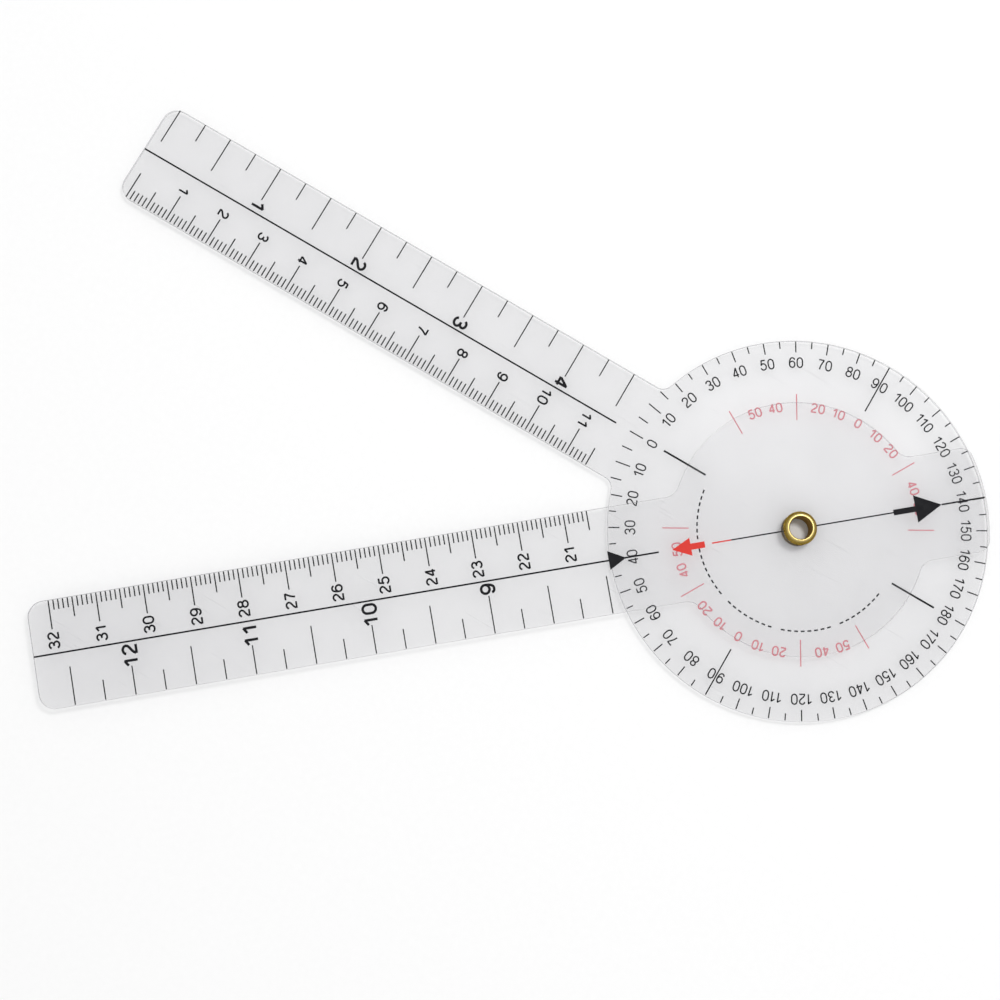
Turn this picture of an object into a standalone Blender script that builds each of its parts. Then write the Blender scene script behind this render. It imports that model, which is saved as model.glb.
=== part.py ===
"""Pocket goniometer: a clear dial arm, a clear moving arm lying on it, and the brass eyelet they turn on.

Metres, +Z up. +X runs from the pivot along the dial arm, and the moving arm stands at REST_ANGLE from it.
The object lies flat: Z = 0 is the underside of the eyelet, and X = Y = 0 is the middle of the outline.
"""

import math

import bmesh
import bpy
from mathutils import Vector

MM = 0.001

# Driving dimensions, in millimetres and degrees
PLATE_THICKNESS = 1.0
EDGE_BREAK = 0.08
GAP = 0.3
REST_ANGLE = 40.0

DIAL_RADIUS = 41.3
DIAL_ARM_LENGTH = 163.9
DIAL_ARM_WIDTH = 22.8
DIAL_ARM_FILLET = 2.5

HUB_RADIUS = 27.5
MOVING_ARM_LENGTH = 164.4
MOVING_ARM_WIDTH = 22.8
POINTER_RADIUS = 41.3
HUB_FILLET = 3.5

ARM_CORNER_RADIUS = 3.4
POINTER_CORNER_RADIUS = 2.5

EYELET_BORE_RADIUS = 2.4
EYELET_CREST_RADIUS = 2.65
EYELET_CREST_ROUNDING = 0.35
EYELET_TUBE_RADIUS = 2.9
EYELET_HEAD_RADIUS = 3.65
EYELET_HEAD_HEIGHT = 1.1
EYELET_FOOT_RADIUS = 3.6
EYELET_FOOT_HEIGHT = 0.7
EYELET_FOOT_ROUNDING = 0.35
PIVOT_HOLE_RADIUS = 3.2

# Fineness of the round stretches, and the angles that tell a round face from an edge
ARC_STEP_DEG = 3.0
CORNER_STEP_DEG = 7.5
SMOOTH_BELOW_DEG = 30.0
BREAK_ABOVE_DEG = 60.0
WELD = 0.000001
HOLE_STEPS = 48
EYELET_STEPS = 48
HEAD_STEPS = 6
FOOT_STEPS = 4
QUARTER_TURN = 90.0

# Colours of the pieces, linear, with their roughness, metallic and transmission values
CLEAR_PLASTIC = ((0.88, 0.89, 0.90, 1.0), 0.12, 0.0, 0.9)
POLISHED_BRASS = ((0.72, 0.50, 0.13, 1.0), 0.22, 1.0, 0.0)

# Heights of the plates above the underside of the eyelet
DIAL_ARM_Z = EYELET_FOOT_HEIGHT + GAP
MOVING_ARM_Z = DIAL_ARM_Z + PLATE_THICKNESS + GAP
EYELET_HEAD_Z = MOVING_ARM_Z + PLATE_THICKNESS + GAP
EYELET_HEIGHT = EYELET_HEAD_Z + EYELET_HEAD_HEIGHT


def pivot_position():
    """The pivot's place, which puts the middle of the outline at rest on X = Y = 0."""
    angle = math.radians(REST_ANGLE)
    corner_x = MOVING_ARM_LENGTH - ARM_CORNER_RADIUS
    corner_y = MOVING_ARM_WIDTH / 2 - ARM_CORNER_RADIUS
    highest_y = corner_x * math.sin(angle) + corner_y * math.cos(angle) + ARM_CORNER_RADIUS
    x = (DIAL_RADIUS - DIAL_ARM_LENGTH) / 2
    y = (DIAL_RADIUS - highest_y) / 2
    return Vector((x, y, 0.0))


def arc(centre, radius, start, end, step=ARC_STEP_DEG):
    """Points on an arc from start to end, in degrees, both ends included."""
    count = max(2, round(abs(end - start) / step))
    points = []
    for i in range(count + 1):
        angle = math.radians(start + (end - start) * i / count)
        points.append((centre[0] + radius * math.cos(angle), centre[1] + radius * math.sin(angle)))
    return points


def fillet_centre(disc_radius, half_width, fillet):
    """Centre of the hollow fillet between a disc on the pivot and an arm's edge, on the +X +Y side."""
    y = half_width + fillet
    x = math.sqrt((disc_radius + fillet) ** 2 - y ** 2)
    return x, y


def turned(points):
    """The points turned half a turn about the pivot."""
    return [(-x, -y) for x, y in points]


def square_tip(length, width, corner):
    """Points round an arm's squared-off tip, with rounded corners, from its lower edge to its upper edge."""
    x = length - corner
    y = width / 2 - corner
    lower_corner = arc((x, -y), corner, -90.0, 0.0, CORNER_STEP_DEG)
    upper_corner = arc((x, y), corner, 0.0, 90.0, CORNER_STEP_DEG)
    return lower_corner + upper_corner


def round_tip(radius, width, corner):
    """Points round a tip that follows a circle about the pivot, with rounded corners."""
    y = width / 2 - corner
    x = math.sqrt((radius - corner) ** 2 - y ** 2)
    lean = math.degrees(math.atan2(y, x))
    lower_corner = arc((x, -y), corner, -90.0, -lean, CORNER_STEP_DEG)
    rim = arc((0.0, 0.0), radius, -lean, lean)
    upper_corner = arc((x, y), corner, lean, 90.0, CORNER_STEP_DEG)
    return lower_corner + rim[1:-1] + upper_corner


def arm_outline(disc_radius, width, fillet, tip):
    """Outline of an arm along +X, from the disc round its tip and back, and the angle where the disc begins."""
    fx, fy = fillet_centre(disc_radius, width / 2, fillet)
    lean = math.degrees(math.atan2(fy, fx))
    lower_fillet = arc((fx, -fy), fillet, 180.0 - lean, 90.0, CORNER_STEP_DEG)
    upper_fillet = arc((fx, fy), fillet, -90.0, lean - 180.0, CORNER_STEP_DEG)
    return lower_fillet + tip + upper_fillet, lean


def dial_arm_outline():
    """A round dial with one straight arm along +X."""
    tip = square_tip(DIAL_ARM_LENGTH, DIAL_ARM_WIDTH, ARM_CORNER_RADIUS)
    arm, lean = arm_outline(DIAL_RADIUS, DIAL_ARM_WIDTH, DIAL_ARM_FILLET, tip)
    rim = arc((0.0, 0.0), DIAL_RADIUS, lean, 360.0 - lean)
    return arm + rim[1:-1]


def moving_arm_outline():
    """A small hub disc with the long arm along +X and the short pointer along -X."""
    arm_tip = square_tip(MOVING_ARM_LENGTH, MOVING_ARM_WIDTH, ARM_CORNER_RADIUS)
    tail_tip = round_tip(POINTER_RADIUS, MOVING_ARM_WIDTH, POINTER_CORNER_RADIUS)
    arm, arm_lean = arm_outline(HUB_RADIUS, MOVING_ARM_WIDTH, HUB_FILLET, arm_tip)
    tail, tail_lean = arm_outline(HUB_RADIUS, MOVING_ARM_WIDTH, HUB_FILLET, tail_tip)
    upper_rim = arc((0.0, 0.0), HUB_RADIUS, arm_lean, 180.0 - tail_lean)
    lower_rim = turned(arc((0.0, 0.0), HUB_RADIUS, tail_lean, 180.0 - arm_lean))
    return arm + upper_rim[1:-1] + turned(tail) + lower_rim[1:-1]


def add_loop(bm, points):
    """A closed loop of edges in the XY plane, from points in millimetres."""
    verts = [bm.verts.new((x * MM, y * MM, 0.0)) for x, y in points]
    return [bm.edges.new((verts[i - 1], verts[i])) for i in range(len(verts))]


def make_material(name, look):
    """A Principled material from a colour, roughness, metallic and transmission value."""
    colour, roughness, metallic, transmission = look
    material = bpy.data.materials.new(name)
    material.use_nodes = True
    shader = material.node_tree.nodes["Principled BSDF"]
    shader.inputs["Base Color"].default_value = colour
    shader.inputs["Roughness"].default_value = roughness
    shader.inputs["Metallic"].default_value = metallic
    shader.inputs["Transmission Weight"].default_value = transmission
    return material


def link_mesh(name, bm, location, angle, look):
    """Turn a bmesh into a named object at a place and angle about Z, with its own material."""
    mesh = bpy.data.meshes.new(name)
    bm.to_mesh(mesh)
    bm.free()
    mesh.materials.append(make_material(name + "_material", look))
    mesh.shade_smooth()
    mesh.set_sharp_from_angle(angle=math.radians(SMOOTH_BELOW_DEG))
    obj = bpy.data.objects.new(name, mesh)
    obj.location = location * MM
    obj.rotation_euler = (0.0, 0.0, math.radians(angle))
    bpy.context.scene.collection.objects.link(obj)
    return obj


def make_plate(name, outline, z, angle):
    """A flat clear plate with the pivot hole through it and softened edges, its origin on the pivot axis."""
    hole = arc((0.0, 0.0), PIVOT_HOLE_RADIUS, 0.0, 360.0, 360.0 / HOLE_STEPS)[:-1]
    bm = bmesh.new()
    edges = add_loop(bm, outline) + add_loop(bm, hole)
    faces = bmesh.ops.triangle_fill(bm, use_beauty=True, edges=edges, normal=(0.0, 0.0, 1.0))["geom"]
    faces = [item for item in faces if isinstance(item, bmesh.types.BMFace)]
    raised = bmesh.ops.extrude_face_region(bm, geom=faces)["geom"]
    top = [item for item in raised if isinstance(item, bmesh.types.BMVert)]
    bmesh.ops.translate(bm, verts=top, vec=(0.0, 0.0, PLATE_THICKNESS * MM))
    bmesh.ops.recalc_face_normals(bm, faces=bm.faces)
    obj = link_mesh(name, bm, pivot_position() + Vector((0.0, 0.0, z)), angle, CLEAR_PLASTIC)
    bevel = obj.modifiers.new("edge_break", "BEVEL")
    bevel.width = EDGE_BREAK * MM
    bevel.segments = 1
    bevel.limit_method = "ANGLE"
    bevel.angle_limit = math.radians(BREAK_ABOVE_DEG)
    return obj


def quarter_oval(crest_radius, side_radius, height):
    """The head's curve as (radius, height), from its crest down to one side."""
    points = []
    for i in range(HEAD_STEPS + 1):
        angle = math.radians(QUARTER_TURN * i / HEAD_STEPS)
        radius = crest_radius + (side_radius - crest_radius) * math.sin(angle)
        points.append((radius, EYELET_HEIGHT - height * (1.0 - math.cos(angle))))
    return points


def eyelet_profile():
    """Half section of the eyelet as (radius, height), up the bore, over the head and down the outside."""
    head_inside = quarter_oval(EYELET_CREST_RADIUS, EYELET_BORE_RADIUS, EYELET_CREST_ROUNDING)[::-1]
    head_outside = quarter_oval(EYELET_CREST_RADIUS, EYELET_HEAD_RADIUS, EYELET_HEAD_HEIGHT)
    rounding = EYELET_FOOT_ROUNDING
    step = QUARTER_TURN / FOOT_STEPS
    foot_outer = (EYELET_FOOT_RADIUS - rounding, rounding)
    foot_outside = arc(foot_outer, rounding, 0.0, -QUARTER_TURN, step)
    foot_inner = (EYELET_BORE_RADIUS + rounding, rounding)
    foot_inside = arc(foot_inner, rounding, -QUARTER_TURN, -2 * QUARTER_TURN, step)
    shank = [
        (EYELET_TUBE_RADIUS, EYELET_HEAD_Z),
        (EYELET_TUBE_RADIUS, EYELET_FOOT_HEIGHT),
        (EYELET_FOOT_RADIUS, EYELET_FOOT_HEIGHT),
    ]
    return head_inside + head_outside[1:] + shank + foot_outside + foot_inside


def make_eyelet():
    """The hollow brass rivet, turned round the pivot axis, with a domed head and a rounded foot."""
    bm = bmesh.new()
    profile = [bm.verts.new((r * MM, 0.0, z * MM)) for r, z in eyelet_profile()]
    edges = [bm.edges.new((profile[i - 1], profile[i])) for i in range(len(profile))]
    bmesh.ops.spin(
        bm,
        geom=profile + edges,
        cent=(0.0, 0.0, 0.0),
        axis=(0.0, 0.0, 1.0),
        angle=math.tau,
        steps=EYELET_STEPS,
        use_merge=True,
    )
    bmesh.ops.remove_doubles(bm, verts=bm.verts, dist=WELD)
    bmesh.ops.recalc_face_normals(bm, faces=bm.faces)
    return link_mesh("pivot_eyelet", bm, pivot_position(), 0.0, POLISHED_BRASS)


def clear_scene():
    for obj in list(bpy.data.objects):
        bpy.data.objects.remove(obj, do_unlink=True)


def main():
    clear_scene()
    make_plate("dial_arm", dial_arm_outline(), DIAL_ARM_Z, 0.0)
    make_plate("moving_arm", moving_arm_outline(), MOVING_ARM_Z, REST_ANGLE)
    make_eyelet()


main()
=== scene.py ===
"""Looks of the pocket goniometer: clear plastic, printed scales and a rolled brass eyelet on the CAD frame.

Printed marks are thin slabs of ink on the two plates. Each plate's marks are laid out in millimetres, with x
running from the pivot along its arm and y across it, and then placed on the plate and made to ride with it.
"""

import math

import bmesh
import bpy
from mathutils import Matrix, Vector
from mathutils.geometry import delaunay_2d_cdt, interpolate_bezier


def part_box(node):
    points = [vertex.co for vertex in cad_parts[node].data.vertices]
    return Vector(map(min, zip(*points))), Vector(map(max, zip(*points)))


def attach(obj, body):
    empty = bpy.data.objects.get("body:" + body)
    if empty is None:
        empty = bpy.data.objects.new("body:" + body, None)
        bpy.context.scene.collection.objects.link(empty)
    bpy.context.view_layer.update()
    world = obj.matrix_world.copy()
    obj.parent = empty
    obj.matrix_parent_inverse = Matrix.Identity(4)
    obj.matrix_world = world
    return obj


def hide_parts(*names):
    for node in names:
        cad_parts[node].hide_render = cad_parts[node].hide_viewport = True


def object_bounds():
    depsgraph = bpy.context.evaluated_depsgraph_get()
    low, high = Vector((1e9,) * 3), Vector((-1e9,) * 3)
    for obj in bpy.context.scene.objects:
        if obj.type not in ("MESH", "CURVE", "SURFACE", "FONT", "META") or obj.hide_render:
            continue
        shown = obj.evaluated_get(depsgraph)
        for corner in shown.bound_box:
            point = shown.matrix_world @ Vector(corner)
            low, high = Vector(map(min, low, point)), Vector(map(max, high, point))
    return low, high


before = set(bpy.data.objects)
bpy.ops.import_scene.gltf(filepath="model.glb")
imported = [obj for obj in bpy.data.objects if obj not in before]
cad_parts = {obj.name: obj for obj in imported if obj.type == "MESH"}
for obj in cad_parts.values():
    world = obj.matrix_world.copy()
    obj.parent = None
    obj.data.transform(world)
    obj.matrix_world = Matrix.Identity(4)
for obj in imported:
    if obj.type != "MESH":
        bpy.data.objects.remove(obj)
cad_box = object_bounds()

MM = 0.001

# Places in the frame: the pivot, the printed faces and the angle between the arms at rest
EYELET_LOW, EYELET_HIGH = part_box("pivot_eyelet")
PIVOT = Vector(((EYELET_LOW.x + EYELET_HIGH.x) / 2, (EYELET_LOW.y + EYELET_HIGH.y) / 2, 0.0))
DIAL_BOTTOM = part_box("dial_arm")[0].z
DIAL_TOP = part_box("dial_arm")[1].z
MOVING_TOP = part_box("moving_arm")[1].z
REST_ANGLE = 40.0

# Ink slabs
INK_THICKNESS = 0.025
INK_CLEARANCE = 0.005
INK_SHEEN = 0.12

# Inks, each as its full and its thin colour
BLACK_INK = ((0.008, 0.008, 0.010, 1.0), (0.045, 0.045, 0.05, 1.0))
RED_INK = ((0.66, 0.045, 0.035, 1.0), (0.72, 0.14, 0.12, 1.0))
THIN_RED_INK = ((0.62, 0.22, 0.25, 1.0), (0.70, 0.40, 0.43, 1.0))

# Outline of the plates, as the marks need it
ARM_EDGE = 11.25
DIAL_ARM_TIP = 163.75
MOVING_ARM_TIP = 164.25
POINTER_TIP = 41.0
DIAL_EDGE = 41.1

# Rulers: where each scale's zero lies from the pivot, and the lengths and widths of its ticks. The two zeros
# belong to the lens used here: a shorter lens brings both to about 161.1.
DIAL_RULER_ZERO = 161.6
MOVING_RULER_ZERO = 160.3
DIAL_RULER_LAST_MM = 115
MOVING_RULER_MM = (205, 320)
DIAL_RULER_LAST_QUARTER = 18
MOVING_RULER_QUARTERS = (32, 50)
INCH = 25.4
TICK_WIDTH = 0.25
CM_TICK_WIDTH = 0.27
MM_TICK = 2.1
HALF_CM_TICK = 4.15
CM_TICK = 6.1
QUARTER_TICK = 4.2
HALF_INCH_TICK = 8.1
NUMBERED_TICK = 6.1
CENTRE_LINE_WIDTH = 0.36
CM_TEXT_NEAR_EDGE = 4.65
CM_TEXT_NEAR_LINE = 0.95
INCH_TEXT_NEAR_LINE = 0.5
DIAL_LINE_START = 45.4

# Degree ring of the dial, with the base lines along the arm and the lines square to it
TICK_STEP = 5
DIAL_TICK_WIDTH = 0.26
TEN_DEGREE_INNER = 38.7
FIVE_DEGREE_INNER = 39.6
ARM_TICK_OUTER = 42.0
LAST_ARM_TICK = 15
NUMERAL_RADIUS = 36.45
BASE_LINE = (23.1, 33.5)
BASE_LINE_WIDTH = 0.42
SQUARE_LINE = (29.9, 41.1)
SQUARE_LINE_WIDTH = 0.28

# Red scale that counts both ways from each right angle
RED_NUMERAL_RADIUS = 26.75
RED_TICK = (23.8, 29.5)
RED_NUMBERS = (0, 10, 20, 40, 50)
RED_TICK_ANGLES = (30, 60)

# Row of plain dashes beside the upper half of the dial
DASH_RADIUS = 22.0
DASH_ARC = (7.0, 172.0)
DASH_GROUPS = 5
DASHES_IN_GROUP = 8
DASH_SIZE = (0.85, 0.34)

# Pointers on the moving arm
TRIANGLE = (41.8, 38.0, 2.05)
INNER_LINE_END = 30.9
HUB_LINE_WIDTH = 0.29
HUB_LINE_GAP = 0.1
ARROW_LAP = 0.1
RED_LINE = (19.3, 15.1)
RED_ARROW = {"tail": 20.85, "shoulder": 23.9, "tip": 28.0, "half_width": 1.95, "stem": 1.35}
BLACK_ARROW = {"tail": 20.7, "shoulder": 25.6, "tip": 31.4, "half_width": 3.0, "stem": 1.25}

# Numerals as (height, digit width, advance, stroke, and the advance of a 1 as a share of the others'). The
# split ones leave room for the line that runs between their two digits.
DIAL_TEXT = (2.4, 1.45, 1.68, 0.29, 0.80)
SPLIT_TEXT = (2.4, 1.45, 2.10, 0.29, 0.80)
RED_TEXT = (2.2, 1.45, 1.62, 0.34, 0.80)
CM_TEXT = (2.5, 1.75, 1.90, 0.40, 0.98)
INCH_TEXT = (3.35, 2.40, 2.60, 0.56, 0.98)

# Eyelet
BORE_RADIUS = 2.4
CREST_RADIUS = 2.66
HEAD_RADIUS = 3.63
FOOT_RADIUS = 3.5
TUBE_RADIUS = 2.9
SEAT_GAP = 0.05
EYELET_STEPS = 128
SHARP_ANGLE = 50.0
WELD = 1e-7
# Height above the seat over which painted shade darkens the eyelet's flank
SEAT_SHADE_HEIGHT = 0.85
CREST_DEPTH = 0.22
CREST_CAP = 0.03
BRASS = (0.34, 0.235, 0.05, 1.0)
BRASS_TARNISH = (0.23, 0.15, 0.026, 1.0)
# Painted shade for the foot of the flank at the seat
BRASS_SEAT_SHADE = (0.07, 0.045, 0.008, 1.0)
# Painted highlight on the crest of the roll
BRASS_CREST_HIGHLIGHT = (0.48, 0.37, 0.14, 1.0)
# Painted shade for the inside of the bore
BRASS_BORE_SHADE = (0.25, 0.145, 0.018, 1.0)
BRASS_RIM = (0.90, 0.64, 0.24, 1.0)

# Clear plastic: the opacity of one face's grey film, the share of the surface's reflection that adds to it,
# and how much of both the moving plate has within the dial's circle and at its tip. Its thinner film over
# the dial is painted lighter, so that both plates there read about as light as one, and its thicker film at
# the tip is painted shade
FILM = 0.060
FILM_VARIATION = 0.1
GLOSS = 0.95
HEAD_ON_GLOSS = 0.04
# Painted light and shade on the moving plate: thinner film over the dial, thicker film at the tip
MOVING_DISC_SHARE = 0.45
MOVING_TIP_SHARE = 1.35
PLASTIC_IOR = 1.49
PLASTIC_SHEEN = 0.18
DISC_FADE = 0.5
TIP_FADE_START = 80.0
PLATE_LOOKS = {"dial_arm": (12.0, 1.0, 1.0), "moving_arm": (41.0, MOVING_DISC_SHARE, MOVING_TIP_SHARE)}
FILM_GREY = (0.46, 0.455, 0.485, 1.0)
# Painted reflection: the base colour of faces seen at a glancing angle
GLANCING_REFLECTION_WHITE = (0.86, 0.86, 0.88, 1.0)
DUST_GREY = (0.10, 0.095, 0.09, 1.0)
# Painted shade: darker grey, with the added opacity below, on the cut walls and sloped edge faces, for the
# dark lines along a clear plate's edges
WALL_SHADE_GREY = (0.42, 0.42, 0.44, 1.0)
CORNER_SHADE_GREY = (0.12, 0.12, 0.13, 1.0)
SCRATCH_OPACITY = 0.05
DUST_OPACITY = 0.40
WALL_OPACITY = 0.16
CORNER_OPACITY = 0.26
MOST_OPAQUE = 0.96
CLEAR_LAYERS = 32

# Depth of the bump relief, in metres
PLASTIC_RELIEF = 0.00006
FINE_RELIEF = 0.00001

# View and light, in picture axes: x right, y up, z towards the viewer, from the pivot at the dial's face
PICTURE_TURN = 149.45
CAMERA_PLACE = (-84.9, -48.6, 424.0)
CAMERA_TILT = (7.38, -2.76)
LENS = 72.0
SENSOR = 36.0
KEY_PLACE = (235.0, 280.0, 1070.0)
KEY_SIZE = 0.28
KEY_POWER = 4.85
WORLD_LOW = 0.52
WORLD_HIGH = 0.82
WORLD_FULL_HEIGHT = 0.8
NEAREST_SEEN = 0.01
FLOOR_HALF_SIZE = 6.0
FLOOR_CLEARANCE = 0.05
PAPER_LIGHT = (0.93, 0.93, 0.93, 1.0)
PAPER_DARK = (0.90, 0.90, 0.90, 1.0)


# ---------------------------------------------------------------- flat shapes


def oval(centre, radii, start, end, count=10):
    """Points on an ellipse arc, angles in degrees counted from +x towards +y."""
    points = []
    for i in range(count + 1):
        angle = math.radians(start + (end - start) * i / count)
        points.append((centre[0] + radii[0] * math.cos(angle), centre[1] + radii[1] * math.sin(angle)))
    return points


def curve(start, handle_a, handle_b, end, count=8):
    """Points on one cubic curve."""
    knots = [Vector((p[0], p[1], 0.0)) for p in (start, handle_a, handle_b, end)]
    return [(p.x, p.y) for p in interpolate_bezier(*knots, count + 1)]


def ribbon(points, width, closed=False):
    """Quads along a line of points, of one width, with mitred corners."""
    points = [Vector(p) for p in points]
    count = len(points)
    sides = []
    for i, point in enumerate(points):
        has_before = closed or i > 0
        has_after = closed or i < count - 1
        into = (point - points[i - 1]).normalized() if has_before else None
        out = (points[(i + 1) % count] - point).normalized() if has_after else into
        into = into or out
        along = (into + out).normalized()
        normal = Vector((-along.y, along.x))
        reach = width / 2 / max(0.5, normal.dot(Vector((-into.y, into.x))))
        sides.append((point + normal * reach, point - normal * reach))
    quads = []
    for i in range(count if closed else count - 1):
        a, b = sides[i], sides[(i + 1) % count]
        quads.append([a[1], b[1], b[0], a[0]])
    return quads


def line(start, end, width):
    """One straight printed line."""
    return ribbon([start, end], width)


def ray(angle, inner, outer, width):
    """A line that points away from the pivot."""
    turn = math.radians(angle)
    way = Vector((math.cos(turn), math.sin(turn)))
    return line(way * inner, way * outer, width)


def merged(polygons):
    """The union of overlapping polygons, as (points, triangles)."""
    points = [Vector(p) for polygon in polygons for p in polygon]
    faces, first = [], 0
    for polygon in polygons:
        faces.append(list(range(first, first + len(polygon))))
        first += len(polygon)
    points, _, triangles, _, _, sources = delaunay_2d_cdt(points, [], faces, 0, 1e-5)
    kept = [triangle for triangle, source in zip(triangles, sources) if source]
    return points, kept


# ---------------------------------------------------------------- numerals


def half_turned(strokes):
    """Strokes of a unit figure turned upside down about its middle."""
    return [([(1.0 - x, 1.0 - y) for x, y in points], closed) for points, closed in strokes]


def figure_six():
    """Strokes of a 6, which also serve for a 9 when turned."""
    bowl = (oval((0.5, 0.32), (0.5, 0.32), 0.0, 350.0, 20), True)
    back = curve((0.0, 0.33), (0.0, 0.83), (0.2, 1.0), (0.54, 1.0))
    back += curve((0.54, 1.0), (0.76, 1.0), (0.9, 0.92), (0.95, 0.79))[1:]
    return [bowl, (back, False)]


def figure_strokes(digit):
    """Middle lines of a digit's strokes in a unit square, each as (points, closed)."""
    if digit == "0":
        top = oval((0.5, 0.66), (0.5, 0.34), 0.0, 180.0, 12)
        bottom = oval((0.5, 0.34), (0.5, 0.34), 180.0, 360.0, 12)
        return [(top + bottom, True)]
    if digit == "1":
        return [([(0.64, 0.0), (0.64, 1.0)], False), ([(0.68, 0.98), (0.08, 0.72)], False)]
    if digit == "2":
        hook = oval((0.5, 0.73), (0.47, 0.27), 170.0, 0.0, 12)
        sweep = curve((0.97, 0.73), (0.97, 0.46), (0.1, 0.36), (0.02, 0.02))
        return [(hook + sweep[1:], False), ([(-0.04, 0.0), (1.0, 0.0)], False)]
    if digit == "3":
        top = oval((0.48, 0.765), (0.44, 0.235), 170.0, -90.0, 14)
        bottom = oval((0.49, 0.27), (0.50, 0.27), 90.0, -168.0, 16)
        return [(top, False), (bottom, False), ([(0.34, 0.535), (0.52, 0.535)], False)]
    if digit == "4":
        stem = ([(0.74, 0.0), (0.74, 1.03)], False)
        slope = ([(0.72, 0.98), (0.02, 0.27)], False)
        return [stem, slope, ([(-0.04, 0.25), (1.02, 0.25)], False)]
    if digit == "5":
        back = ([(0.22, 1.0), (0.10, 0.50)], False)
        bowl = (oval((0.48, 0.33), (0.51, 0.33), 150.0, -162.0, 18), False)
        return [([(0.94, 1.0), (0.14, 1.0)], False), back, bowl]
    if digit == "6":
        return figure_six()
    if digit == "7":
        fall = curve((0.98, 1.0), (0.62, 0.66), (0.38, 0.34), (0.34, 0.0))
        return [([(0.0, 1.0), (1.0, 1.0)], False), (fall, False)]
    if digit == "8":
        top = oval((0.5, 0.77), (0.43, 0.23), 0.0, 345.0, 20)
        bottom = oval((0.5, 0.275), (0.5, 0.275), 0.0, 345.0, 22)
        return [(top, True), (bottom, True)]
    return half_turned(figure_six())


figures = {}


def figure(digit, style):
    """A digit in one style, centred on its own middle, as (points, triangles)."""
    if (digit, style) not in figures:
        height, width, _, stroke, _ = style
        across, up = width - stroke, height - stroke
        quads = []
        for points, closed in figure_strokes(digit):
            scaled = [((x - 0.5) * across, (y - 0.5) * up) for x, y in points]
            quads += ribbon(scaled, stroke, closed)
        figures[digit, style] = merged(quads)
    return figures[digit, style]


def lettering(text, place, up_angle, style, align=0.5):
    """Digits in a row, with their tops towards up_angle.

    An align of 0, 0.5 or 1 puts the row's start, middle or end on place.
    """
    _, width, step, _, one_share = style
    advances = [step * (one_share if digit == "1" else 1.0) for digit in text]
    length = sum(advances) - (step - width)
    turn = Matrix.Rotation(math.radians(up_angle - 90.0), 2)
    at = -align * length - (step - width) / 2
    shapes = []
    for digit, advance in zip(text, advances):
        points, triangles = figure(digit, style)
        shift = Vector((at + advance / 2, 0.0))
        shapes.append(([turn @ (p + shift) + Vector(place) for p in points], triangles))
        at += advance
    return shapes


# ---------------------------------------------------------------- materials


class Nodes:
    """Short hand for building a material's node tree."""

    def __init__(self, name):
        self.material = bpy.data.materials.new(name)
        self.material.use_nodes = True
        self.tree = self.material.node_tree
        self.shader = self.tree.nodes["Principled BSDF"]

    def add(self, kind, **values):
        """A node with its inputs set by name, with underscores for spaces, from values or other outputs."""
        node = self.tree.nodes.new(kind)
        for key, value in values.items():
            self.feed(node, key.replace("_", " "), value)
        return node

    def feed(self, node, socket, value):
        if isinstance(value, bpy.types.NodeSocket):
            self.tree.links.new(value, node.inputs[socket])
        else:
            node.inputs[socket].default_value = value

    def math(self, operation, *values):
        node = self.tree.nodes.new("ShaderNodeMath")
        node.operation = operation
        for i, value in enumerate(values):
            self.feed(node, i, value)
        return node.outputs[0]

    def ramp(self, value, low, high, to_low=0.0, to_high=1.0):
        """A value carried smoothly from one range to another."""
        node = self.tree.nodes.new("ShaderNodeMapRange")
        node.interpolation_type = "SMOOTHSTEP"
        for socket, number in enumerate((value, low, high, to_low, to_high)):
            self.feed(node, socket, number)
        return node.outputs[0]

    def mix(self, factor, a, b):
        node = self.tree.nodes.new("ShaderNodeMix")
        node.data_type = "RGBA"
        self.feed(node, 0, factor)
        self.feed(node, 6, a)
        self.feed(node, 7, b)
        return node.outputs[2]

    def noise(self, vector, scale, detail=3.0, roughness=0.55):
        node = self.add("ShaderNodeTexNoise", Vector=vector, Scale=scale, Detail=detail, Roughness=roughness)
        return node.outputs["Fac"]

    def place(self, scale=(1.0, 1.0, 1.0), turn=0.0):
        """Object coordinates, stretched and turned about Z."""
        coordinates = self.tree.nodes.new("ShaderNodeTexCoord").outputs["Object"]
        about_z = (0.0, 0.0, math.radians(turn))
        return self.add("ShaderNodeMapping", Vector=coordinates, Scale=scale, Rotation=about_z).outputs[0]

    def radius(self):
        """Distance from the pivot's axis."""
        place = self.tree.nodes.new("ShaderNodeTexCoord").outputs["Object"]
        away = self.tree.nodes.new("ShaderNodeVectorMath")
        away.operation = "SUBTRACT"
        self.feed(away, 0, place)
        away.inputs[1].default_value = PIVOT
        flat = self.tree.nodes.new("ShaderNodeVectorMath")
        flat.operation = "MULTIPLY"
        self.feed(flat, 0, away.outputs[0])
        flat.inputs[1].default_value = (1.0, 1.0, 0.0)
        length = self.tree.nodes.new("ShaderNodeVectorMath")
        length.operation = "LENGTH"
        self.feed(length, 0, flat.outputs[0])
        return length.outputs["Value"]

    def bump(self, height, strength, distance):
        node = self.add("ShaderNodeBump", Height=height, Strength=strength, Distance=distance)
        self.feed(self.shader, "Normal", node.outputs[0])


def hair_scratches(n, turn):
    """Thin streaks that run one way and show in patches."""
    streak = n.noise(n.place((55.0, 3800.0, 1.0), turn), 1.0, 1.0, 0.4)
    patch = n.noise(n.place((90.0, 90.0, 1.0), turn), 1.0, 0.0, 0.5)
    return n.math("MULTIPLY", n.ramp(streak, 0.70, 0.75), n.ramp(patch, 0.5, 0.62))


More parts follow.
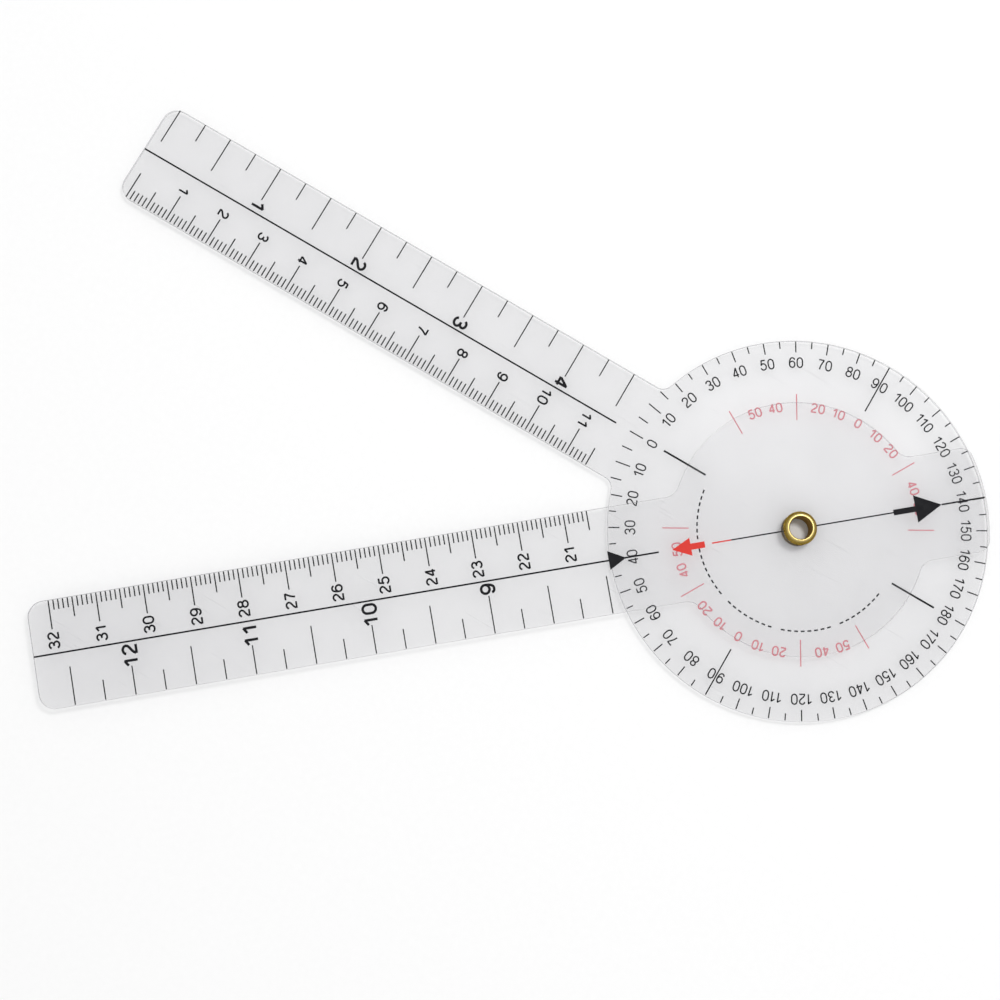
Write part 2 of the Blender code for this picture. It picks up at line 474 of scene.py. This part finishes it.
def dust(n):
    """Rare fine specks, one in a few of the cells that could hold one."""
    cells = n.add("ShaderNodeTexVoronoi", Vector=n.place(), Scale=130.0)
    rare = n.tree.nodes.new("ShaderNodeSeparateColor")
    n.feed(rare, 0, cells.outputs["Color"])
    chosen = n.math("GREATER_THAN", rare.outputs[0], 0.90)
    return n.math("MULTIPLY", chosen, n.ramp(cells.outputs["Distance"], 0.010, 0.026, 1.0, 0.0))


def clear_plastic(name, turn, disc_share, tip_share):
    """Water-clear sheet: a faint grey film with polished faces, hair scratches, dust, and cut edges painted
    darker as shade.

    The film and the gloss have disc_share of their strength within the dial's circle and tip_share at
    the tip; on the moving plate these paint it lighter over the dial and in painted shade at its tip. One set
    of scratches runs along turn, in degrees, and a second set crosses it.
    """
    n = Nodes(name)
    upright = n.tree.nodes.new("ShaderNodeSeparateXYZ")
    n.feed(upright, 0, n.tree.nodes.new("ShaderNodeNewGeometry").outputs["True Normal"])
    level = n.math("ABSOLUTE", upright.outputs[2])
    wall = n.ramp(level, 0.30, 0.50, 1.0, 0.0)
    corner = n.math("SUBTRACT", n.ramp(level, 0.85, 0.97, 1.0, 0.0), wall)
    edge = n.math("ADD", wall, corner)

    scratch = n.math("MAXIMUM", hair_scratches(n, turn), hair_scratches(n, turn + 74.0))
    speck = dust(n)
    haze = n.noise(n.place(), 45.0, 3.0, 0.6)
    film = n.ramp(haze, 0.3, 0.7, FILM * (1.0 - FILM_VARIATION), FILM * (1.0 + FILM_VARIATION))
    facing = n.add("ShaderNodeLayerWeight", Blend=0.5).outputs["Facing"]
    gloss = n.math("MULTIPLY_ADD", n.math("POWER", facing, 5.0), 1.0 - HEAD_ON_GLOSS, HEAD_ON_GLOSS)
    film = n.math("ADD", film, n.math("MULTIPLY", gloss, GLOSS))
    radius = n.radius()
    # Painted light and shade: the film is thinned within the dial's circle and thickened towards the tip
    within = n.ramp(radius, DIAL_EDGE * MM, (DIAL_EDGE + DISC_FADE) * MM, disc_share, 1.0)
    outwards = n.ramp(radius, TIP_FADE_START * MM, DIAL_ARM_TIP * MM, 1.0, tip_share)
    solid = n.math("MULTIPLY", n.math("MULTIPLY", film, within), outwards)
    masks = (scratch, speck, wall, corner)
    for mask, opacity in zip(masks, (SCRATCH_OPACITY, DUST_OPACITY, WALL_OPACITY, CORNER_OPACITY)):
        solid = n.math("ADD", solid, n.math("MULTIPLY", mask, opacity))
    n.feed(n.shader, "Alpha", n.math("MINIMUM", solid, MOST_OPAQUE))

    # Painted reflection: faces seen at a glancing angle turn white, where the gloss also makes them more
    # opaque
    glancing_reflection = n.ramp(gloss, 0.05, 0.35)
    face = n.mix(glancing_reflection, FILM_GREY, GLANCING_REFLECTION_WHITE)
    face = n.mix(speck, face, DUST_GREY)
    # Painted shade: the cut walls and the sloped edge faces take a darker grey
    face = n.mix(wall, face, WALL_SHADE_GREY)
    n.feed(n.shader, "Base Color", n.mix(corner, face, CORNER_SHADE_GREY))
    rough = n.ramp(haze, 0.25, 0.75, 0.06, 0.16)
    rough = n.math("ADD", rough, n.math("MULTIPLY", scratch, 0.35))
    n.feed(n.shader, "Roughness", n.math("ADD", rough, n.math("MULTIPLY", edge, 0.22)))
    n.shader.inputs["IOR"].default_value = PLASTIC_IOR
    n.shader.inputs["Specular IOR Level"].default_value = PLASTIC_SHEEN

    ripple = n.noise(n.place(), 30.0, 1.0, 0.4)
    saw = n.noise(n.place((2600.0, 2600.0, 60.0)), 1.0, 2.0, 0.5)
    relief = n.math("ADD", n.math("MULTIPLY", ripple, 0.6), n.math("MULTIPLY", scratch, -0.25))
    relief = n.math("ADD", relief, n.math("MULTIPLY", n.math("MULTIPLY", saw, edge), 0.5))
    n.bump(relief, 0.25, PLASTIC_RELIEF)
    return n.material


def printed_ink(name, full, thin):
    """Screen-printed ink: matt, uneven in density between its full and its thin colour, with a fine grain."""
    n = Nodes(name)
    density = n.noise(n.place(), 900.0, 3.0, 0.6)
    blotch = n.noise(n.place(), 160.0, 2.0, 0.5)
    worn = n.math("MULTIPLY", n.ramp(density, 0.52, 0.78), n.ramp(blotch, 0.45, 0.7))
    n.feed(n.shader, "Base Color", n.mix(n.math("MULTIPLY", worn, 0.55), full, thin))
    n.feed(n.shader, "Roughness", n.ramp(density, 0.3, 0.7, 0.52, 0.70))
    n.shader.inputs["Specular IOR Level"].default_value = INK_SHEEN
    n.bump(density, 0.35, FINE_RELIEF)
    return n.material


def rolled_brass():
    """Brass with the fine rings that rolling leaves, a crest painted paler as a highlight,
    a bore painted darker and browner as shade, and painted shade towards the seat.
    """
    n = Nodes("rolled_brass")
    radius = n.radius()
    height = n.tree.nodes.new("ShaderNodeSeparateXYZ")
    n.feed(height, 0, n.place())
    ring_place = n.tree.nodes.new("ShaderNodeCombineXYZ")
    n.feed(ring_place, 0, radius)
    n.feed(ring_place, 1, height.outputs[2])
    rings = n.noise(ring_place.outputs[0], 9000.0, 2.0, 0.6)
    tarnish = n.noise(n.place(), 700.0, 4.0, 0.6)

    bore = n.ramp(radius, (BORE_RADIUS + 0.01) * MM, (BORE_RADIUS + 0.10) * MM, 1.0, 0.0)
    bright = n.mix(n.ramp(tarnish, 0.35, 0.75), BRASS, BRASS_TARNISH)
    seat = MOVING_TOP + 0.1 * MM
    # Painted shade: the flank darkens towards its seat on the plate, unevenly with the tarnish noise
    low = n.ramp(height.outputs[2], seat, seat + SEAT_SHADE_HEIGHT * MM, 0.95, 0.0)
    seat_shade = n.math("MULTIPLY", low, n.ramp(tarnish, 0.2, 0.6, 0.7, 1.0))
    bright = n.mix(seat_shade, bright, BRASS_SEAT_SHADE)
    # Painted highlight: the top of the roll is coloured paler, and made rougher to spread its reflection
    crest = n.ramp(height.outputs[2], EYELET_HIGH.z - CREST_DEPTH * MM, EYELET_HIGH.z - CREST_CAP * MM)
    bright = n.mix(crest, bright, BRASS_CREST_HIGHLIGHT)
    # Painted shade: the bore is coloured darker and browner, and is made less metallic and rougher
    n.feed(n.shader, "Base Color", n.mix(n.math("MULTIPLY", bore, 0.85), bright, BRASS_BORE_SHADE))
    n.feed(n.shader, "Metallic", n.math("SUBTRACT", 1.0, n.math("MULTIPLY", bore, 0.3)))
    n.shader.inputs["Specular Tint"].default_value = BRASS_RIM
    rough = n.ramp(tarnish, 0.3, 0.8, 0.13, 0.30)
    rough = n.math("MULTIPLY_ADD", crest, 0.12, rough)
    n.feed(n.shader, "Roughness", n.math("MULTIPLY_ADD", bore, 0.15, rough))
    n.bump(n.math("ADD", rings, n.math("MULTIPLY", tarnish, 0.5)), 0.12, FINE_RELIEF)
    return n.material


def pale_paper():
    """The pale floor, with a barely visible paper grain."""
    n = Nodes("pale_floor")
    grain = n.noise(n.place(), 700.0, 3.0, 0.6)
    n.feed(n.shader, "Base Color", n.mix(grain, PAPER_LIGHT, PAPER_DARK))
    n.feed(n.shader, "Roughness", n.ramp(grain, 0.3, 0.7, 0.75, 0.9))
    n.shader.inputs["Specular IOR Level"].default_value = 0.2
    n.bump(grain, 0.05, 0.0001)
    return n.material


# ---------------------------------------------------------------- pieces


def plate_place(body):
    """Where a plate's own millimetre layout lies in the frame, just above its printed face."""
    top, angle = (DIAL_TOP, 0.0) if body == "dial" else (MOVING_TOP, REST_ANGLE)
    lift = Vector((0.0, 0.0, top + INK_CLEARANCE * MM))
    return Matrix.Translation(PIVOT + lift) @ Matrix.Rotation(math.radians(angle), 4, "Z")


def printed(name, body, shapes, ink):
    """A group of marks as one piece: each flat shape becomes a thin slab of ink on its plate."""
    bm = bmesh.new()
    for points, triangles in shapes:
        verts = [bm.verts.new((p[0] * MM, p[1] * MM, 0.0)) for p in points]
        for triangle in triangles:
            bm.faces.new([verts[i] for i in triangle])
    loose = [vert for vert in bm.verts if not vert.link_faces]
    bmesh.ops.delete(bm, geom=loose, context="VERTS")
    bmesh.ops.recalc_face_normals(bm, faces=bm.faces)
    top = bmesh.ops.extrude_face_region(bm, geom=list(bm.faces))["geom"]
    raised = [item for item in top if isinstance(item, bmesh.types.BMVert)]
    bmesh.ops.translate(bm, verts=raised, vec=(0.0, 0.0, INK_THICKNESS * MM))
    bmesh.ops.recalc_face_normals(bm, faces=bm.faces)
    bm.transform(plate_place(body))
    piece = add_piece(name, body, bm, ink)
    # On plates raised above the floor, the ink's shadow would read as a second set of marks
    piece.visible_shadow = False
    return piece


def add_piece(name, body, bm, material):
    mesh = bpy.data.meshes.new(name)
    bm.to_mesh(mesh)
    bm.free()
    mesh.materials.append(material)
    piece = bpy.data.objects.new(name, mesh)
    bpy.context.scene.collection.objects.link(piece)
    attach(piece, body)
    return piece


def ticks(edge, places, width):
    """Ruler ticks as (x, length) pairs, which start at the edge y and run towards the centre line."""
    way = -1.0 if edge > 0 else 1.0
    return [merged(line((x, edge), (x, edge + way * length), width)) for x, length in places]


def centimetre_length(mm):
    if mm % 10 == 0:
        return CM_TICK
    return HALF_CM_TICK if mm % 5 == 0 else MM_TICK


def dial_rulers(black):
    """Both rulers of the dial arm. They count from the tip towards the pivot."""
    places = [(DIAL_RULER_ZERO - mm, centimetre_length(mm)) for mm in range(DIAL_RULER_LAST_MM + 1)]
    printed("dial_arm_centimetre_ticks", "dial", ticks(ARM_EDGE, places, CM_TICK_WIDTH), black)
    quarters = range(DIAL_RULER_LAST_QUARTER + 1)
    places = [(DIAL_RULER_ZERO - q * INCH / 4, QUARTER_TICK if q % 2 else HALF_INCH_TICK) for q in quarters]
    printed("dial_arm_inch_ticks", "dial", ticks(-ARM_EDGE, places, TICK_WIDTH), black)

    numerals = []
    for cm in range(1, DIAL_RULER_LAST_MM // 10 + 1):
        place = (DIAL_RULER_ZERO - cm * 10.0, CM_TEXT_NEAR_EDGE)
        numerals += lettering(str(cm), place, 180.0, CM_TEXT, 1.0)
    printed("dial_arm_centimetre_numerals", "dial", numerals, black)
    numerals = []
    for inch in range(1, DIAL_RULER_LAST_QUARTER // 4 + 1):
        place = (DIAL_RULER_ZERO - inch * INCH, -INCH_TEXT_NEAR_LINE)
        numerals += lettering(str(inch), place, 180.0, INCH_TEXT, 1.0)
    printed("dial_arm_inch_numerals", "dial", numerals, black)
    centre = merged(line((DIAL_LINE_START, 0.0), (DIAL_ARM_TIP, 0.0), CENTRE_LINE_WIDTH))
    printed("dial_arm_centre_line", "dial", [centre], black)


def moving_rulers(black):
    """Both rulers of the moving arm. Their numbers carry on from the dial arm's and grow towards the tip."""
    first, last = MOVING_RULER_MM
    places = [(mm - MOVING_RULER_ZERO, centimetre_length(mm)) for mm in range(first, last + 1)]
    marks = ticks(-ARM_EDGE, places, CM_TICK_WIDTH)
    printed("moving_arm_centimetre_ticks", "pointer", marks, black)

    first, last = MOVING_RULER_QUARTERS
    places, numerals = [], []
    for quarter in range(first, last + 1):
        x = quarter * INCH / 4 - MOVING_RULER_ZERO
        inch = quarter // 4
        numbered = quarter % 4 == 0 and quarter > first
        length = QUARTER_TICK if quarter % 2 else HALF_INCH_TICK
        if numbered:
            length = NUMBERED_TICK if inch > 9 else HALF_INCH_TICK
            numerals += lettering(str(inch), (x, INCH_TEXT_NEAR_LINE), 0.0, INCH_TEXT, 1.0)
        places.append((x, length))
    printed("moving_arm_inch_ticks", "pointer", ticks(ARM_EDGE, places, TICK_WIDTH), black)
    printed("moving_arm_inch_numerals", "pointer", numerals, black)

    numerals = []
    for cm in range(MOVING_RULER_MM[0] // 10 + 1, MOVING_RULER_MM[1] // 10 + 1):
        place = (cm * 10.0 - MOVING_RULER_ZERO, -CM_TEXT_NEAR_LINE)
        numerals += lettering(str(cm), place, 0.0, CM_TEXT, 0.0)
    printed("moving_arm_centimetre_numerals", "pointer", numerals, black)


def dial_scale(black):
    """The degree ring, counted 0 to 180 both ways from the dial arm, with its base and right-angle lines."""
    marks, numerals = [], []
    for angle in range(TICK_STEP - 180, 181, TICK_STEP):
        on_arm = abs(angle) <= LAST_ARM_TICK
        inner = TEN_DEGREE_INNER if angle % 10 == 0 else FIVE_DEGREE_INNER
        outer = ARM_TICK_OUTER if on_arm else DIAL_EDGE
        if abs(angle) != 90:
            marks.append(merged(ray(angle, inner, outer, DIAL_TICK_WIDTH)))
        if angle % 10 == 0:
            turn = math.radians(angle)
            place = (NUMERAL_RADIUS * math.cos(turn), NUMERAL_RADIUS * math.sin(turn))
            style = SPLIT_TEXT if abs(angle) == 90 else DIAL_TEXT
            numerals += lettering(str(abs(angle)), place, angle, style)
    for angle in (0, 180):
        marks.append(merged(ray(angle, *BASE_LINE, BASE_LINE_WIDTH)))
    for angle in (90, -90):
        marks.append(merged(ray(angle, *SQUARE_LINE, SQUARE_LINE_WIDTH)))
    printed("dial_degree_ticks", "dial", marks, black)
    printed("dial_degree_numerals", "dial", numerals, black)


def red_scale(red):
    """The inner red scale, which counts both ways from each right angle."""
    marks, numerals = [], []
    for middle in (90, -90):
        for way in (1, -1):
            marks += [merged(ray(middle + way * angle, *RED_TICK, TICK_WIDTH)) for angle in RED_TICK_ANGLES]
            for number in RED_NUMBERS:
                if number == 0 and way < 0:
                    continue
                angle = middle + way * number
                turn = math.radians(angle)
                place = (RED_NUMERAL_RADIUS * math.cos(turn), RED_NUMERAL_RADIUS * math.sin(turn))
                numerals += lettering(str(number), place, angle, RED_TEXT)
    printed("dial_red_ticks", "dial", marks, red)
    printed("dial_red_numerals", "dial", numerals, red)


def dash_row(black):
    """Groups of plain dashes on an arc, where a maker's legend would stand."""
    start, end = DASH_ARC
    slots = DASH_GROUPS * (DASHES_IN_GROUP + 1) - 1
    shapes = []
    for slot in range(slots):
        if slot % (DASHES_IN_GROUP + 1) == DASHES_IN_GROUP:
            continue
        turn = math.radians(start + (end - start) * (slot + 0.5) / slots)
        middle = Vector((math.cos(turn), math.sin(turn))) * DASH_RADIUS
        along = Vector((-math.sin(turn), math.cos(turn))) * DASH_SIZE[0] / 2
        shapes.append(merged(line(middle - along, middle + along, DASH_SIZE[1])))
    printed("dial_dash_row", "dial", shapes, black)


def arrow(parts, way):
    """An arrow on the moving arm's centre line that points away from the pivot, towards +x or -x."""
    stem = line((way * parts["tail"], 0.0), (way * (parts["shoulder"] + ARROW_LAP), 0.0), parts["stem"])
    half = parts["half_width"]
    head = [(way * parts["shoulder"], -half), (way * parts["tip"], 0.0), (way * parts["shoulder"], half)]
    return merged(stem + [head if way > 0 else head[::-1]])


def pointers(black, red):
    """The moving arm's centre line with its triangle, its two arrows and the thin line through the pivot."""
    base, tip, half = TRIANGLE
    triangle = [(base, half), (tip, 0.0), (base, -half)]
    lines = line((INNER_LINE_END, 0.0), (MOVING_ARM_TIP, 0.0), CENTRE_LINE_WIDTH)
    printed("moving_arm_centre_line", "pointer", [merged(lines + [triangle])], black)

    hub_lines = [
        line((RED_LINE[1], 0.0), (HEAD_RADIUS + HUB_LINE_GAP, 0.0), HUB_LINE_WIDTH),
        line((-HEAD_RADIUS - HUB_LINE_GAP, 0.0), (-BLACK_ARROW["tail"], 0.0), HUB_LINE_WIDTH),
        line((-BLACK_ARROW["tip"], 0.0), (-POINTER_TIP, 0.0), CENTRE_LINE_WIDTH),
    ]
    shapes = [merged(quads) for quads in hub_lines]
    printed("pivot_line", "pointer", shapes, black)
    printed("black_arrow", "pointer", [arrow(BLACK_ARROW, -1)], black)
    printed("red_arrow", "pointer", [arrow(RED_ARROW, 1)], red)
    red_line = merged(line((RED_LINE[1], 0.0), (RED_LINE[0], 0.0), HUB_LINE_WIDTH))
    printed("red_line", "pointer", [red_line], red)


def eyelet_profile():
    """Half section of the eyelet as (radius, height) in millimetres: a tube with both ends rolled out."""
    top = EYELET_HIGH.z / MM
    seat = MOVING_TOP / MM + SEAT_GAP
    under = DIAL_BOTTOM / MM - SEAT_GAP
    inside = oval((CREST_RADIUS, top - 0.40), (CREST_RADIUS - BORE_RADIUS, 0.40), 180.0, 90.0, 8)
    outside = oval((CREST_RADIUS, top - 1.02), (HEAD_RADIUS - CREST_RADIUS, 1.02), 90.0, 4.0, 14)
    roll = oval((HEAD_RADIUS - 0.18, seat + 0.18), (0.18, 0.18), 0.0, -90.0, 5)
    flare = TUBE_RADIUS + 0.08
    neck = [(flare, seat + 0.03), (TUBE_RADIUS, seat - 0.12)]
    neck += [(TUBE_RADIUS, under + 0.12), (flare, under - 0.03)]
    foot_roll = oval((FOOT_RADIUS - 0.22, 0.36), (0.22, 0.34), 75.0, -80.0, 8)
    land = [(3.22, 0.0), (3.02, 0.0)]
    mouth = oval((BORE_RADIUS + 0.40, 0.34), (0.40, 0.34), 255.0, 180.0, 6)
    bore = [(BORE_RADIUS, 0.8), (BORE_RADIUS, 2.4), (BORE_RADIUS, top - 0.7)]
    return inside + outside[1:] + roll + neck + foot_roll + land + mouth + bore


def eyelet(brass):
    """The hollow rivet, turned round the pivot."""
    bm = bmesh.new()
    verts = [bm.verts.new((r * MM, 0.0, z * MM)) for r, z in eyelet_profile()]
    edges = [bm.edges.new((verts[i - 1], verts[i])) for i in range(len(verts))]
    bmesh.ops.spin(
        bm,
        geom=verts + edges,
        cent=(0.0, 0.0, 0.0),
        axis=(0.0, 0.0, 1.0),
        angle=math.tau,
        steps=EYELET_STEPS,
        use_merge=True,
    )
    bmesh.ops.remove_doubles(bm, verts=bm.verts, dist=WELD)
    bmesh.ops.recalc_face_normals(bm, faces=bm.faces)
    bm.transform(Matrix.Translation(PIVOT))
    piece = add_piece("rolled_eyelet", "dial", bm, brass)
    piece.data.shade_smooth()
    piece.data.set_sharp_from_angle(angle=math.radians(SHARP_ANGLE))
    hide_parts("pivot_eyelet")


def dress_plates():
    """The two CAD plates get their clear plastic."""
    for node, (turn, disc_share, tip_share) in PLATE_LOOKS.items():
        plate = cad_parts[node]
        plate.data.materials.clear()
        plate.data.materials.append(clear_plastic(node + "_plastic", turn, disc_share, tip_share))


# ---------------------------------------------------------------- stage


def picture_axes():
    """Picture axes in the frame: turned so that the dial arm points as it does in the picture."""
    at = PIVOT + Vector((0.0, 0.0, DIAL_TOP))
    return Matrix.Translation(at) @ Matrix.Rotation(math.radians(-PICTURE_TURN), 4, "Z")


def add_camera():
    data = bpy.data.cameras.new("camera")
    data.lens = LENS
    data.sensor_width = SENSOR
    data.clip_start = NEAREST_SEEN
    camera = bpy.data.objects.new("camera", data)
    bpy.context.scene.collection.objects.link(camera)
    about_x = Matrix.Rotation(math.radians(CAMERA_TILT[0]), 4, "X")
    about_y = Matrix.Rotation(math.radians(CAMERA_TILT[1]), 4, "Y")
    camera.matrix_world = picture_axes() @ Matrix.Translation(Vector(CAMERA_PLACE) * MM) @ about_x @ about_y
    bpy.context.scene.camera = camera


def add_softbox(name, place, size, power):
    """A round area light that faces the pivot."""
    data = bpy.data.lights.new(name, "AREA")
    data.shape = "DISK"
    data.size = size
    data.energy = power
    lamp = bpy.data.objects.new(name, data)
    bpy.context.scene.collection.objects.link(lamp)
    at = Vector(place) * MM
    aim = (-at).to_track_quat("-Z", "Y").to_matrix().to_4x4()
    lamp.matrix_world = picture_axes() @ Matrix.Translation(at) @ aim


def add_world():
    """An even studio dome, brighter overhead than at the horizon."""
    world = bpy.data.worlds.new("studio")
    bpy.context.scene.world = world
    world.use_nodes = True
    tree = world.node_tree
    place = tree.nodes.new("ShaderNodeTexCoord")
    parts = tree.nodes.new("ShaderNodeSeparateXYZ")
    tree.links.new(place.outputs["Generated"], parts.inputs[0])
    level = tree.nodes.new("ShaderNodeMapRange")
    settings = {"From Min": 0.0, "From Max": WORLD_FULL_HEIGHT, "To Min": WORLD_LOW, "To Max": WORLD_HIGH}
    for socket, value in settings.items():
        level.inputs[socket].default_value = value
    tree.links.new(parts.outputs[2], level.inputs["Value"])
    background = tree.nodes["Background"]
    background.inputs["Color"].default_value = (1.0, 1.0, 1.0, 1.0)
    tree.links.new(level.outputs[0], background.inputs["Strength"])


def add_floor():
    bm = bmesh.new()
    bmesh.ops.create_grid(bm, x_segments=4, y_segments=4, size=FLOOR_HALF_SIZE)
    mesh = bpy.data.meshes.new("floor")
    bm.to_mesh(mesh)
    bm.free()
    mesh.materials.append(pale_paper())
    floor = bpy.data.objects.new("floor", mesh)
    floor.location = (0.0, 0.0, cad_box[0][2] - FLOOR_CLEARANCE * MM)
    bpy.context.scene.collection.objects.link(floor)


def main():
    black = printed_ink("black_ink", *BLACK_INK)
    red = printed_ink("red_ink", *RED_INK)
    thin_red = printed_ink("thin_red_ink", *THIN_RED_INK)
    dress_plates()
    dial_rulers(black)
    dial_scale(black)
    red_scale(thin_red)
    dash_row(black)
    moving_rulers(black)
    pointers(black, red)
    eyelet(rolled_brass())
    add_floor()
    add_world()
    add_softbox("key", KEY_PLACE, KEY_SIZE, KEY_POWER)
    add_camera()
    bpy.context.scene.view_settings.view_transform = "Standard"
    bpy.context.scene.cycles.transparent_max_bounces = CLEAR_LAYERS


main()
